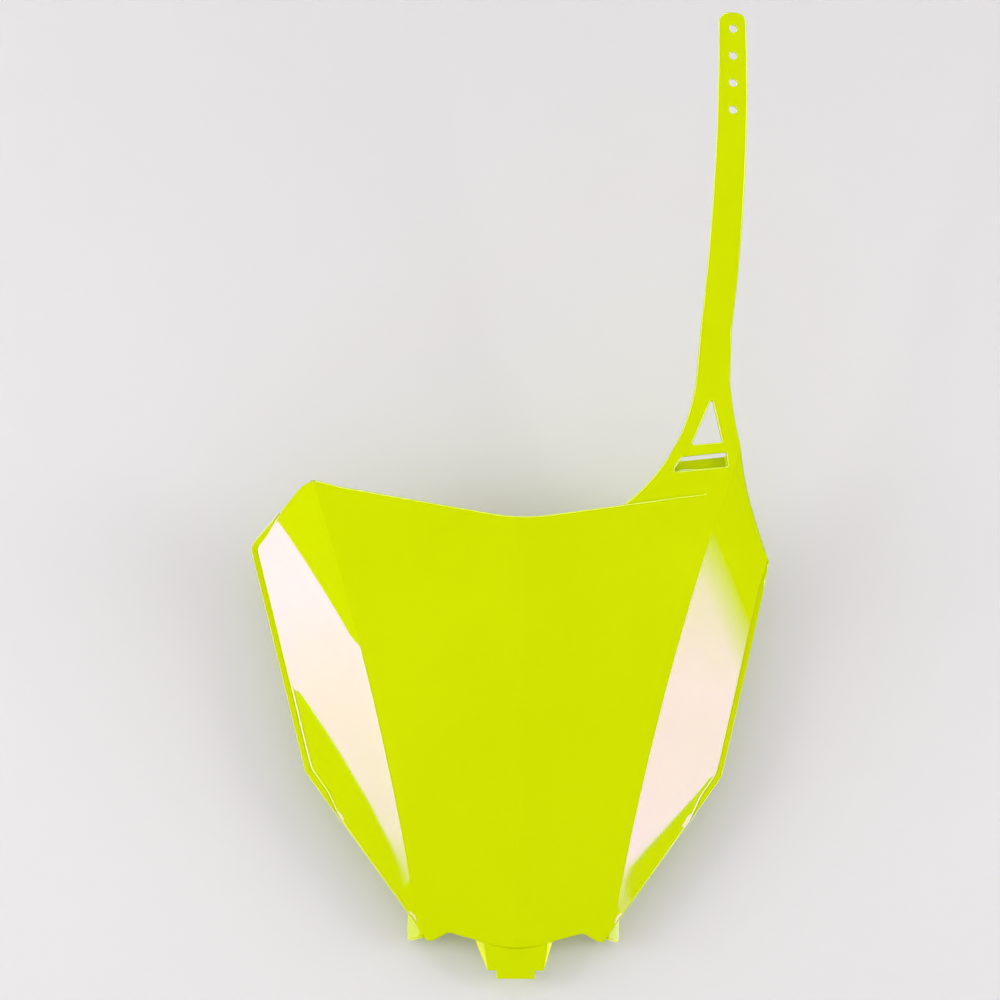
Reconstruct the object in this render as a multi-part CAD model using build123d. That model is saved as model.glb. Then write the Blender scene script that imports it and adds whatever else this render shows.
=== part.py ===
from build123d import *
import math
import os

# Front number board of an off-road racing motorbike, moulded in one piece.
# Millimetres. +Z is up, the numbered face looks along -Y and X = 0 is the middle plane.
# The origin is on the seat at the back of the locating tab, level with the shoulders of its tongue.
# Heights and depths below start at the end of the tongue and at the front of the keel.

# Walls
wall = 2.2
web_wall = 2.6
strap_wall = 2.0

# Front panel: two halves that slope back from a shallow keel
keel_angle = 5.1
keel_radius = 6.0
top_mid_height = 209.8
top_rise_angle = 9.3
top_blend_radius = 80.0
brow_half_width = 100.0
brow_radius = 6.0
strap_corner_x = 90.0
strap_corner_radius = 5.0

# Wings: outer corners of each wing, seen from the front, and how far back they lie
shoulder_half_width = 125.0
shoulder_height = 197.2
shoulder_depth = 48.0
shoulder_radius = 3.0
waist_half_width = 96.7
waist_height = 91.5
waist_depth = 20.0
waist_radius = 6.0
toe_half_width = 39.9
toe_height = 16.2
toe_wing_angle = 14.0

# Fold between panel and wing, as half widths at the heights of the wing corners
fold_at_shoulder = 87.3
fold_at_waist = 58.5
fold_at_toe = 43.3
fold_radius = 2.8
least_radius = 0.5
section_count = 6
fold_end_turns = 10

# Narrow rim that runs round each wing and faces forwards
rim_width = 2.3
rim_setback = 0.4
rim_fade = 26.0
rim_tuck = 4.0

# Bottom edge between the toes
toe_flat = 2.6
toe_flat_rise = 0.5
notch_x = 30.7
notch_height = 20.4
notch_radius = 4.0
lip_half_width = 18.5
lip_height = 17.2
lip_drop = 3.5

# Locating tab below the panel: a shallow channel with a narrower tongue
tab_setback = 1.4
tab_foot_half_width = 12.7
tab_top_half_width = 14.8
tab_flare = 3.4
tab_depth = 12.0
tab_root_height = 48.0
tongue_half_width = 8.7
tongue_length = 3.7
tongue_radius = 0.8

# Lugs behind the lower corners
lug_root_x = 42.5
lug_tip_x = 48.7
lug_depth = 16.0
lug_foot_height = 15.4
lug_tip_height = 16.0
lug_root_height = 52.0

# Web that carries the strap, measured from the panel's strap corner
web_step = 1.0
web_lap = 2.4
web_root_lap = 4.0
web_end_gap = 2.0
web_root_inboard = 42.6
web_bow_x = -19.0
web_bow_rise = 19.8
web_side_x = 18.6
web_side_drop = 3.7
web_side_bow_x = 12.2
web_side_bow_rise = 25.3
neck_x = 0.1
neck_rise = 53.3
neck_width = 16.4

# Slot and window in the web
slot_left_x = -18.9
slot_right_x = 7.4
slot_base_rise = 9.3
slot_base_tilt = 7.3
slot_opening = 6.5
slot_left_inset = 4.8
slot_right_inset = 0.9
slot_radius = 0.8
ledge_wall = 1.6
ledge_depth = 6.0
ledge_gap = 2.0
ledge_sink = 0.5
cheek_sink = 1.3
window_bar = 5.2
window_left_x = -9.9
window_right_x = 4.5
window_apex_x = -0.4
window_height = 22.2
window_radius = 0.6

# Strap
strap_width = 15.0
strap_tip_width = 13.5
step_rise = 73.8
step_length = 4.3
strap_root_x = 1.6
strap_bow_x = 8.1
strap_end_x = 9.2
strap_rise = 231.2
strap_tip_radius = 5.0
hole_diameter = 4.0
hole_pitch = 13.2
hole_count = 4
hole_end_margin = 8.1

# Button on the back that the strap is hooked on
button_inboard = 9.0
button_drop = 24.0
button_boss_diameter = 9.0
button_boss_height = 2.0
button_neck_diameter = 3.6
button_head_diameter = 6.4
button_head_height = 2.4
button_clearance = 0.8

# Allowance by which cutting bodies reach past what they cut
margin = 40.0

# Values that follow from the driving dimensions
keel_slope = math.tan(math.radians(keel_angle))
top_slope = math.tan(math.radians(top_rise_angle))
top_vertex = top_mid_height - top_blend_radius * (1 / math.cos(math.radians(top_rise_angle)) - 1)
reach = shoulder_half_width + margin
behind = shoulder_depth + 3 * margin


def top_edge(x):
    """Height of the panel's top edge at a distance x from the middle."""
    return top_vertex + top_slope * abs(x)


corner_x = strap_corner_x
corner_z = top_edge(strap_corner_x)


def through(z, points):
    """Value at height z of the parabola through three (height, value) points."""
    (z0, v0), (z1, v1), (z2, v2) = points
    first = (v1 - v0) / (z1 - z0)
    second = ((v2 - v1) / (z2 - z1) - first) / (z2 - z0)
    return v0 + first * (z - z0) + second * (z - z0) * (z - z1)


def fold_x(z):
    """Half width of the fold between panel and wing at height z."""
    marks = [(toe_height, fold_at_toe), (waist_height, fold_at_waist), (shoulder_height, fold_at_shoulder)]
    return through(z, marks)


def wing_slope(z):
    """How steeply the wing runs back from the fold at height z."""
    waist = (waist_depth - keel_slope * fold_at_waist) / (waist_half_width - fold_at_waist)
    shoulder = (shoulder_depth - keel_slope * fold_at_shoulder) / (shoulder_half_width - fold_at_shoulder)
    toe = math.tan(math.radians(toe_wing_angle))
    return through(z, [(toe_height, toe), (waist_height, waist), (shoulder_height, shoulder)])


def wing_depth(x, z):
    """Depth of the wing's outer face at half width x and height z."""
    return keel_slope * fold_x(z) + wing_slope(z) * (x - fold_x(z))


def nearest(shape, x, y):
    """The corner of a flat sketch that lies nearest to a point."""
    return shape.vertices().sort_by_distance(Vector(x, y))[0]


def front_prism(sketch):
    """A sketch of X and Z pushed through the whole depth of the board."""
    return extrude(Plane.XZ * sketch, amount=2 * behind, both=True)


def mirrored(part):
    """A part together with its mirror image in the middle plane."""
    return part + mirror(part, about=Plane.YZ)


def section(z, inset):
    """Plan of the space behind the front face at height z, set back from the face by inset."""
    slope = wing_slope(z)
    panel_start = inset * math.hypot(1, keel_slope)
    wing_start = keel_slope * fold_x(z) - slope * fold_x(z) + inset * math.hypot(1, slope)
    fold = (wing_start - panel_start) / (keel_slope - slope)
    fold_y = panel_start + keel_slope * fold
    side_y = wing_start + slope * reach
    right = [(fold, fold_y), (reach, side_y), (reach, behind)]
    left = [(-x, y) for x, y in reversed(right)]
    plan = make_face(Polyline((0, panel_start), *right, *left, close=True))
    plan = fillet(nearest(plan, fold, fold_y), max(fold_radius - inset, least_radius))
    plan = fillet(nearest(plan, -fold, fold_y), max(fold_radius - inset, least_radius))
    plan = fillet(nearest(plan, 0, panel_start), keel_radius)
    return Plane.XY.offset(z) * plan


def face_block(inset):
    """Everything behind the front face, set back from it by inset."""
    low = toe_height - 2 * lip_drop
    high = top_edge(brow_half_width) + brow_radius
    heights = [low + (high - low) * step / (section_count - 1) for step in range(section_count)]
    return loft([section(z, inset) for z in heights])


def board_outline():
    """Front outline of the panel and wings, without tab and strap."""
    shoulder = (shoulder_half_width, shoulder_height)
    waist = (waist_half_width, waist_height)
    toe = (toe_half_width, toe_height)
    toe_end = (toe_half_width - toe_flat, toe_height + toe_flat_rise)
    notch = (notch_x, notch_height)
    lip = (lip_half_width, lip_height)
    right = [(0, top_vertex), (corner_x, corner_z), shoulder, waist, toe, toe_end, notch, lip]
    brow = (-brow_half_width, top_edge(brow_half_width))
    left_side = [shoulder, waist, toe, toe_end, notch, lip]
    left = [brow] + [(-x, z) for x, z in left_side]
    edge = Polyline(*right) + ThreePointArc(lip, (0, lip_height - lip_drop), (-lip_half_width, lip_height))
    edge += Polyline(*reversed(left), right[0])
    outline = make_face(edge)
    rounds = [
        (0, top_vertex, top_blend_radius),
        (corner_x, corner_z, strap_corner_radius),
        (*brow, brow_radius),
    ]
    for side in (1, -1):
        rounds.append((side * shoulder_half_width, shoulder_height, shoulder_radius))
        rounds.append((side * waist_half_width, waist_height, waist_radius))
        rounds.append((side * notch_x, notch_height, notch_radius))
    for x, z, radius in rounds:
        outline = fillet(nearest(outline, x, z), radius)
    return outline


def rim_path(inboard, under_strap=False):
    """Points down the side of a wing, the given distance inside its outline. Under the strap they start at the shoulder."""
    brow_x = strap_corner_x if under_strap else brow_half_width
    brow = Vector(brow_x, top_edge(brow_x))
    shoulder = Vector(shoulder_half_width, shoulder_height)
    waist = Vector(waist_half_width, waist_height)
    toe = Vector(toe_half_width, toe_height)
    upper = (shoulder - brow).normalized()
    lower = (waist - shoulder).normalized()
    last = (toe - waist).normalized()
    turn = math.radians(upper.get_angle(lower)) / 2
    inwards = Vector(upper.Y + lower.Y, -(upper.X + lower.X)).normalized()
    corner = shoulder + inwards * (inboard / math.cos(turn))
    length = rim_tuck if under_strap else (shoulder - brow).length + 2 * brow_radius
    top = corner - upper * length
    side = waist - Vector(inboard / abs(lower.Y), 0)
    fade = waist + last * rim_fade
    return [(p.X, p.Y) for p in (top, corner, side, fade)]


def rim_strip(overlap, under_strap):
    """Front view of the rim's strip, grown towards the middle by an overlap."""
    inner = rim_path(rim_width + overlap, under_strap)
    outer = rim_path(-rim_width, under_strap)[:-1]
    return make_face(Polyline(*inner, *reversed(outer), close=True))


def both_strips(overlap):
    """Both rims' strips as bodies that run through the whole depth."""
    plain = mirror(front_prism(rim_strip(overlap, False)), about=Plane.YZ)
    return front_prism(rim_strip(overlap, True)) + plain


def rims():
    """Forward-facing rims of both wings, as deep at each height as the wings they edge."""
    top, shoulder, waist, fade = rim_path(rim_width)

    def front(point, setback):
        return (wing_depth(*point) + rim_setback + setback, point[1])

    def bow(first, last, setback):
        middle = ((first[0] + last[0]) / 2, (first[1] + last[1]) / 2)
        return ThreePointArc(front(first, setback), front(middle, setback), front(last, setback))

    def side(setback):
        edge = Line(front(fade, setback), front(waist, setback))
        return edge + bow(waist, shoulder, setback) + bow(shoulder, top, setback)

    ends = Line(front(fade, 0), front(fade, wall)) + Line(front(top, 0), front(top, wall))
    profile = make_face(side(0) + side(wall) + ends)
    slab = extrude(Plane.YZ * profile, amount=reach, both=True)
    return slab & both_strips(wall / 2)


def shell(front, outline):
    """Panel, wings and rims, from the block behind the front face and the prism of the outline."""
    skin = front - face_block(wall)
    skin -= both_strips(0)
    return (skin + rims()) & outline


def web_outline():
    """Front view of the web and strap in one piece."""
    def at(x, z):
        return (corner_x + x, corner_z + z)

    half_neck = neck_width / 2
    half_strap = strap_width / 2
    half_tip = strap_tip_width / 2
    step_top = step_rise + step_length
    middle = (step_top + strap_rise) / 2
    root_x = corner_x - web_root_inboard
    root = (root_x, top_edge(root_x))
    shoulder = Vector(shoulder_half_width, shoulder_height)
    edge_start = Vector(corner_x, corner_z)
    along = (shoulder - edge_start).normalized()
    lap = Vector(along.Y, -along.X) * web_lap
    last = shoulder - along * web_end_gap
    lapped = [(p.X, p.Y) for p in (last, last + lap, edge_start + lap)]
    left_neck = at(neck_x - half_neck, neck_rise)
    right_neck = at(neck_x + half_neck, neck_rise)
    left_step = at(strap_root_x - half_strap, step_top)
    right_step = at(strap_root_x + half_strap, step_top)
    left_end = at(strap_end_x - half_tip, strap_rise)
    right_end = at(strap_end_x + half_tip, strap_rise)
    side = at(web_side_x, -web_side_drop)
    edge = ThreePointArc(root, at(web_bow_x, web_bow_rise), left_neck)
    edge += Line(left_neck, left_step)
    edge += ThreePointArc(left_step, at(strap_bow_x - half_strap, middle), left_end)
    edge += Line(left_end, right_end)
    edge += ThreePointArc(right_end, at(strap_bow_x + half_strap, middle), right_step)
    edge += Line(right_step, right_neck)
    edge += ThreePointArc(right_neck, at(web_side_bow_x, web_side_bow_rise), side)
    edge += Polyline(side, *lapped, (root[0], root[1] - web_root_lap), root)
    outline = make_face(edge)
    for corner in (left_end, right_end):
        outline = fillet(nearest(outline, *corner), strap_tip_radius)
    return outline


def slot_outline():
    """Front view of the slot that the strap is threaded through."""
    tilt = math.tan(math.radians(slot_base_tilt))
    base = corner_z + slot_base_rise
    left = corner_x + slot_left_x
    right = corner_x + slot_right_x
    lift = tilt * (right - left)
    corners = [
        (left, base),
        (right, base + lift),
        (right - slot_right_inset, base + lift + slot_opening),
        (left + slot_left_inset, base + tilt * slot_left_inset + slot_opening),
    ]
    outline = make_face(Polyline(*corners, close=True))
    return fillet(outline.vertices(), slot_radius)


def window_outline():
    """Front view of the three-cornered window above the slot."""
    tilt = math.tan(math.radians(slot_base_tilt))
    left = corner_x + window_left_x
    right = corner_x + window_right_x
    base = corner_z + slot_base_rise + slot_opening + window_bar - tilt * slot_left_x / 2
    apex = (corner_x + window_apex_x, base + window_height)
    outline = make_face(Polyline((left, base), (right, base + tilt * (right - left)), apex, close=True))
    return fillet(outline.vertices(), window_radius)


def web_plane():
    """Front face of the web, parallel to the right half of the panel, with Z pointing backwards."""
    turned = math.radians(keel_angle)
    start = web_step / math.cos(turned)
    return Plane(origin=(0, start, 0), x_dir=(math.cos(turned), math.sin(turned), 0),
                 z_dir=(-math.sin(turned), math.cos(turned), 0))


def fold_end():
    """Front view of the point where the fold between panel and wing meets the edge below the web."""
    fall = (shoulder_height - corner_z) / (shoulder_half_width - corner_x)
    x = corner_x
    for turn in range(fold_end_turns):
        x = fold_x(corner_z + fall * (x - corner_x))
    return (x, corner_z + fall * (x - corner_x))


def gusset_plane():
    """Front face of the corner that folds back from the web to the shoulder."""
    start = web_step / math.cos(math.radians(keel_angle))
    end_x, end_z = fold_end()
    corner = Vector(end_x, keel_slope * end_x + start, end_z)
    side_x = corner_x + web_side_x
    side = Vector(side_x, keel_slope * side_x + start, corner_z - web_side_drop + web_side_x / 2)
    shoulder = Vector(shoulder_half_width, shoulder_depth, shoulder_height)
    along = (side - corner).normalized()
    backwards = along.cross(shoulder - corner).normalized()
    if backwards.Y < 0:
        backwards = backwards * -1
    return Plane(origin=corner, x_dir=along, z_dir=backwards)


def web_block(inset):
    """Everything behind the web and its corner, set back from their faces by inset."""
    size = 8 * reach
    block = None
    for plane in (web_plane(), gusset_plane()):
        behind_plane = Box(size, size, size, align=(Align.CENTER, Align.CENTER, Align.MIN))
        half_space = plane.offset(inset) * behind_plane
        block = half_space if block is None else block & half_space
    return block


def web_profile_plane(x, z, tilt):
    """Plane across the web at a point of its front face: X backwards, Y up, Z along the web at a tilt."""
    turned = math.radians(keel_angle)
    rise = math.radians(tilt)
    along = (math.cos(turned) * math.cos(rise), math.sin(turned) * math.cos(rise), math.sin(rise))
    front = keel_slope * x + web_step / math.cos(turned)
    return Plane(origin=(x, front, z), x_dir=(-math.sin(turned), math.cos(turned), 0), z_dir=along)


def ledge():
    """Ramp that runs up and back from the lower edge of the slot, with a cheek at each end."""
    climb = slot_opening - ledge_gap
    rear = ledge_depth + ledge_wall
    ramp = make_face(Polyline(
        (ledge_sink, -ledge_wall), (ledge_sink, 0), (ledge_depth, climb), (rear, climb),
        (rear, climb - ledge_wall), (web_wall, -2 * ledge_wall), close=True))
    cheek = make_face(Polyline(
        (cheek_sink, -ledge_wall), (cheek_sink, climb), (rear, climb),
        (rear, climb - ledge_wall), (web_wall, -2 * ledge_wall), close=True))
    plane = web_profile_plane(corner_x + slot_left_x, corner_z + slot_base_rise, slot_base_tilt)
    length = (slot_right_x - slot_left_x) / math.cos(math.radians(slot_base_tilt))
    scoop = extrude(plane * ramp, amount=length)
    scoop += extrude(plane.offset(-ledge_wall) * cheek, amount=ledge_wall)
    return scoop + extrude(plane.offset(length) * cheek, amount=ledge_wall)


def strap_relief():
    """What is taken off the front of the strap above the step, to leave it thin enough to bend."""
    relief = web_wall - strap_wall
    start = corner_z + step_rise
    end = corner_z + 2 * strap_rise
    length = end - start
    profile = make_face(Polyline(
        (-web_wall, 0), (0, 0), (relief, step_length), (relief, length), (-web_wall, length), close=True))
    return extrude(web_profile_plane(0, start, 0) * profile, amount=2 * reach, both=True)


def web():
    """Web, strap and the folded corner beside them."""
    sheet = front_prism(web_outline()) & (web_block(0) - web_block(web_wall))
    sheet -= front_prism(slot_outline())
    sheet -= front_prism(window_outline())
    sheet -= strap_relief()
    highest = corner_z + strap_rise - hole_end_margin
    for step in range(hole_count):
        spot = Pos(corner_x + strap_end_x, highest - hole_pitch * step)
        sheet -= front_prism(spot * Circle(hole_diameter / 2))
    return sheet + ledge()


def channel_section(z, front_half, rear_half, near, far):
    """Plan of the tab's channel at height z, between two depths behind the keel."""
    corners = [(-front_half, near), (front_half, near), (rear_half, far), (-rear_half, far)]
    return Plane.XY.offset(z) * make_face(Polyline(*corners, close=True))


def tab():
    """Locating tab: a flat seat between flared side walls, with a narrower tongue below."""
    near = tab_setback
    seat = tab_setback + wall
    top_rear = tab_top_half_width + tab_flare
    stages = [
        (tongue_length, tab_foot_half_width, tab_foot_half_width, wall),
        (lip_height, tab_top_half_width, top_rear, tab_depth),
        (tab_root_height, tab_top_half_width, tab_top_half_width, wall),
    ]
    outer = []
    inner = []
    for z, front, rear, depth in stages:
        outer.append(channel_section(z, front, rear, near, near + depth))
        inner.append(channel_section(z, front - wall, rear - wall, seat, seat + tab_depth))
    channel = loft(outer, ruled=True) - loft(inner, ruled=True)
    tongue = make_face(Polyline(
        (-tongue_half_width, 0), (tongue_half_width, 0), (tongue_half_width, tongue_length + wall),
        (-tongue_half_width, tongue_length + wall), close=True))
    for x in (-tongue_half_width, tongue_half_width):
        tongue = fillet(nearest(tongue, x, 0), tongue_radius)
    plate = extrude(Plane.XZ.offset(-near) * tongue, amount=-wall)
    return channel + plate


def lug():
    """Right lug: a wall that flares outwards as it runs back from the lower corner of the panel."""
    start = keel_slope * lug_root_x + wall / 2
    lean = Vector(lug_tip_x - lug_root_x, lug_depth - start).normalized()
    inwards = Vector(-lean.Y, lean.X) * wall
    root = Vector(lug_root_x, start)
    tip = Vector(lug_tip_x, lug_depth)
    plan = make_face(Polyline(*[(p.X, p.Y) for p in (root, tip, tip + inwards, root + inwards)], close=True))
    front = start - wall
    rear = lug_depth + wall
    lug_tip_top = lug_foot_height + lug_tip_height
    side = make_face(Polyline(
        (front, toe_height + wall), (rear, lug_foot_height), (rear, lug_tip_top), (front, lug_root_height),
        close=True))
    return extrude(plan, amount=2 * lug_root_height) & extrude(Plane.YZ * side, amount=reach)


def button():
    """Mushroom button on the back of the panel, below the strap."""
    x = corner_x - button_inboard
    z = corner_z - button_drop
    turned = math.radians(keel_angle)
    back = Plane(origin=(x, keel_slope * x + wall / math.cos(turned), z), x_dir=(0, 0, 1),
                 z_dir=(-math.sin(turned), math.cos(turned), 0))
    neck_top = button_boss_height + strap_wall + button_clearance
    profile = make_face(Polyline(
        (0, -wall / 2), (button_boss_diameter / 2, -wall / 2), (button_boss_diameter / 2, button_boss_height),
        (button_neck_diameter / 2, button_boss_height), (button_neck_diameter / 2, neck_top),
        (button_head_diameter / 2, neck_top), (button_neck_diameter / 2, neck_top + button_head_height),
        (0, neck_top + button_head_height), close=True))
    return back * revolve(Plane.XZ * profile, axis=Axis.Z)


front = face_block(0)
outline = front_prism(board_outline())
ahead = outline - front
board = shell(front, outline) + (web() - ahead) + tab() + mirrored(lug()) + button()
board = Pos(0, -(tab_setback + wall), -tongue_length) * board

os.makedirs("parts", exist_ok=True)
export_step(board, "parts/number_board.step")
size = board.bounding_box().size
print(f"number_board: {len(board.solids())} solid, {board.volume:.0f} mm3")
print(f"size: {size.X:.1f} x {size.Y:.1f} x {size.Z:.1f} mm")
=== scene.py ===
# %% [markdown]
# A racing number board: one thin plastic moulding that hangs in front of an off-road
# motorbike's handlebar. It has a shallow-keeled panel, two wings that sweep back, a long
# strap with holes, and a small tab that locates its foot. Its sizes are those of the CAD
# model. This lesson builds a smooth, dressed version of the same board around that model.

import math

import bmesh
import bpy
import numpy as np
from mathutils import Matrix, Vector


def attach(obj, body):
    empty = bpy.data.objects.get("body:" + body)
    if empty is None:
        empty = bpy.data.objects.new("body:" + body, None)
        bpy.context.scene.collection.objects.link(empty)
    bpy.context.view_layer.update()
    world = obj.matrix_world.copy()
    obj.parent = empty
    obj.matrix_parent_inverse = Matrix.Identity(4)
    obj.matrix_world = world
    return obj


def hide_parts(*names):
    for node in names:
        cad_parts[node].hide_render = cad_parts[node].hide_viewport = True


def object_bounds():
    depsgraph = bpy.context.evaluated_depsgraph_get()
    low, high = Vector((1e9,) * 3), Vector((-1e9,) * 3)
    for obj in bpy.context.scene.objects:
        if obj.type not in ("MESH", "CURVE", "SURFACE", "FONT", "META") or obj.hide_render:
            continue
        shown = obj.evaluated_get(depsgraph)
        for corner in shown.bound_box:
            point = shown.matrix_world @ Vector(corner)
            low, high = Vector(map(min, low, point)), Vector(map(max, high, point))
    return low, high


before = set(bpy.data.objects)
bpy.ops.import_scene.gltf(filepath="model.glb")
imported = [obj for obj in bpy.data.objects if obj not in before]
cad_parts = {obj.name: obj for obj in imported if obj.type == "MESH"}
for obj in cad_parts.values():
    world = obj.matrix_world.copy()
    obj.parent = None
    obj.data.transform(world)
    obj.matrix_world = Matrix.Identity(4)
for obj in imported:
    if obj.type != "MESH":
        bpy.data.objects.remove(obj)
cad_low, cad_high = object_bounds()
print("CAD box:", [round(v, 4) for v in cad_low], [round(v, 4) for v in cad_high])

# %% [markdown]
# The board is easiest to draw in millimetres, with heights from the end of the tab's
# tongue and depths from the front of the keel. The CAD frame is in metres and starts at
# the seat of the tab, so every finished mesh is scaled and moved once, at the end.

# %% Drawing units and the step into the frame
MM = 0.001
SEAT_DEPTH, SEAT_HEIGHT = 3.6, 3.7
collection = bpy.context.scene.collection


def set_in_frame(mesh):
    """Moves a mesh from drawing millimetres to the CAD frame's metres."""
    to_seat = Matrix.Translation(Vector((0.0, -SEAT_DEPTH, -SEAT_HEIGHT)) * MM)
    mesh.transform(to_seat @ Matrix.Scale(MM, 4))


def add_object(name, data):
    """A new object at the origin that holds a mesh, a curve, a camera or a lamp."""
    piece = bpy.data.objects.new(name, data)
    collection.objects.link(piece)
    return piece


def edit_mesh(mesh, change):
    """Lets a function change a mesh in the form of a bmesh."""
    shape = bmesh.new()
    shape.from_mesh(mesh)
    change(shape)
    shape.to_mesh(mesh)
    shape.free()


def mesh_from(name, lay):
    """A mesh with the points and faces that a function lays in an empty bmesh."""
    mesh = bpy.data.meshes.new(name)
    edit_mesh(mesh, lay)
    return mesh


print("one drawing millimetre is", MM, "m")

# %% [markdown]
# The photograph was taken from about a metre away, a little left of the middle and
# slightly below the panel's centre, with a long lens. A camera is a place and three
# directions, so it is set from its forward and upward directions.

# %% Camera
CAMERA_PLACE = Vector((-0.09687, -1.09332, 0.09832))
CAMERA_FORWARD = Vector((0.07888, 0.99139, 0.10453))
CAMERA_UP = Vector((-0.02184, -0.10311, 0.99443))
CAMERA_LENS, CAMERA_SENSOR = 86.087, 36.0

camera_data = bpy.data.cameras.new("photo_camera")
camera_data.lens = CAMERA_LENS
camera_data.sensor_width = CAMERA_SENSOR
camera = add_object("photo_camera", camera_data)
back = -CAMERA_FORWARD.normalized()
right = CAMERA_UP.cross(back).normalized()
up = back.cross(right)
turn = Matrix((right, up, back)).transposed().to_4x4()
camera.matrix_world = Matrix.Translation(CAMERA_PLACE) @ turn
bpy.context.scene.camera = camera
bpy.context.scene.view_settings.view_transform = "Standard"
to_board = (cad_low + cad_high) / 2 - CAMERA_PLACE
print("camera distance to the board:", round(to_board.length, 3), "m")

# %% [markdown]
# Moulded plastic and studio paper both have a fine grain that is too small to model. One
# node group makes it from noise on Object coordinates, so that it sticks to the piece.
# It puts out a height for a Bump node and a mask for soft changes of tint.

# %% Node group for fine grain
FINE_DETAIL, BROAD_DETAIL = 3.0, 2.0


def build_grain_group():
    """Shader group: noise at a fine scale as height, and at a broad scale as a tint mask."""
    group = bpy.data.node_groups.new("fine_grain", "ShaderNodeTree")
    noises = (("Fine scale", "Height", FINE_DETAIL), ("Broad scale", "Tint mask", BROAD_DETAIL))
    for scale, output, detail in noises:
        group.interface.new_socket(scale, in_out="INPUT", socket_type="NodeSocketFloat")
        group.interface.new_socket(output, in_out="OUTPUT", socket_type="NodeSocketFloat")
    entry = group.nodes.new("NodeGroupInput")
    result = group.nodes.new("NodeGroupOutput")
    coordinates = group.nodes.new("ShaderNodeTexCoord")
    for scale, output, detail in noises:
        noise = group.nodes.new("ShaderNodeTexNoise")
        noise.inputs["Detail"].default_value = detail
        group.links.new(coordinates.outputs["Object"], noise.inputs["Vector"])
        group.links.new(entry.outputs[scale], noise.inputs["Scale"])
        group.links.new(noise.outputs["Fac"], result.inputs[output])
    return group


grain_group = build_grain_group()
print("grain group has", len(grain_group.nodes), "nodes")

# %% [markdown]
# The plastic is a fluorescent yellow with a hard gloss. Its colour shifts a little from
# place to place, as the dye does in a real moulding, and its surface has a very slight
# orange-peel ripple that keeps the reflections from looking like a mirror's.

# %% Yellow plastic
YELLOW_TINTS = ((0.635, 0.762, 0.0006, 1.0), (0.655, 0.782, 0.0012, 1.0))
PLASTIC_GRAIN, PLASTIC_SPAN = (900.0, 14.0), (0.3, 0.7)
PLASTIC_IOR = 1.5
GLOSS_LOW, GLOSS_HIGH = 0.015, 0.03
RIPPLE_STRENGTH, RIPPLE_HEIGHT = 0.008, 0.0002


def grained_material(name, grain_scales, tint_span, tints):
    """A material whose colour drifts between two tints. Also returns its shader and its grain."""
    material = bpy.data.materials.new(name)
    material.use_nodes = True
    nodes, links = material.node_tree.nodes, material.node_tree.links
    shader = nodes["Principled BSDF"]
    grain = nodes.new("ShaderNodeGroup")
    grain.node_tree = grain_group
    for label, scale in zip(("Fine scale", "Broad scale"), grain_scales):
        grain.inputs[label].default_value = scale
    tint = nodes.new("ShaderNodeValToRGB")
    for end, place, colour in zip(tint.color_ramp.elements, tint_span, tints):
        end.position = place
        end.color = colour
    links.new(grain.outputs["Tint mask"], tint.inputs["Fac"])
    links.new(tint.outputs["Color"], shader.inputs["Base Color"])
    return material, shader, grain


def build_yellow_plastic():
    """Glossy yellow plastic with a soft tint change, roughness change and ripple."""
    material, shader, grain = grained_material("yellow_plastic", PLASTIC_GRAIN, PLASTIC_SPAN, YELLOW_TINTS)
    nodes, links = material.node_tree.nodes, material.node_tree.links
    shader.inputs["IOR"].default_value = PLASTIC_IOR
    gloss = nodes.new("ShaderNodeMapRange")
    gloss.inputs["To Min"].default_value = GLOSS_LOW
    gloss.inputs["To Max"].default_value = GLOSS_HIGH
    links.new(grain.outputs["Height"], gloss.inputs["Value"])
    links.new(gloss.outputs["Result"], shader.inputs["Roughness"])
    bump = nodes.new("ShaderNodeBump")
    bump.inputs["Strength"].default_value = RIPPLE_STRENGTH
    bump.inputs["Distance"].default_value = RIPPLE_HEIGHT
    links.new(grain.outputs["Height"], bump.inputs["Height"])
    links.new(bump.outputs["Normal"], shader.inputs["Normal"])
    return material


yellow_plastic = build_yellow_plastic()
print("yellow plastic has", len(yellow_plastic.node_tree.nodes), "nodes")

# %% [markdown]
# The face of the board follows a rule. At every height there is a fold: inside it the
# panel leans back from the keel by a few degrees, and outside it the wing leans back more
# steeply. How far out the fold lies, and how steep the wing is, each follow a parabola
# through three heights: toe, waist and shoulder.

# %% The board's driving sizes
WALL = 2.2
KEEL_SLOPE = math.tan(math.radians(5.1))
KEEL_ROUND = 0.5
TOE_HEIGHT, WAIST_HEIGHT, SHOULDER_HEIGHT = 16.2, 91.5, 197.2
TOE_HALF, WAIST_HALF, SHOULDER_HALF = 39.9, 96.7, 125.0
WAIST_DEPTH, SHOULDER_DEPTH = 20.0, 48.0
FOLD_TOE, FOLD_WAIST, FOLD_SHOULDER = 43.3, 58.5, 87.3
SLOPE_TOE = math.tan(math.radians(14.0))
SLOPE_WAIST = (WAIST_DEPTH - KEEL_SLOPE * FOLD_WAIST) / (WAIST_HALF - FOLD_WAIST)
SLOPE_SHOULDER = (SHOULDER_DEPTH - KEEL_SLOPE * FOLD_SHOULDER) / (SHOULDER_HALF - FOLD_SHOULDER)
HEIGHTS = (TOE_HEIGHT, WAIST_HEIGHT, SHOULDER_HEIGHT)
FOLDS = (FOLD_TOE, FOLD_WAIST, FOLD_SHOULDER)
SLOPES = (SLOPE_TOE, SLOPE_WAIST, SLOPE_SHOULDER)


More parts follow.
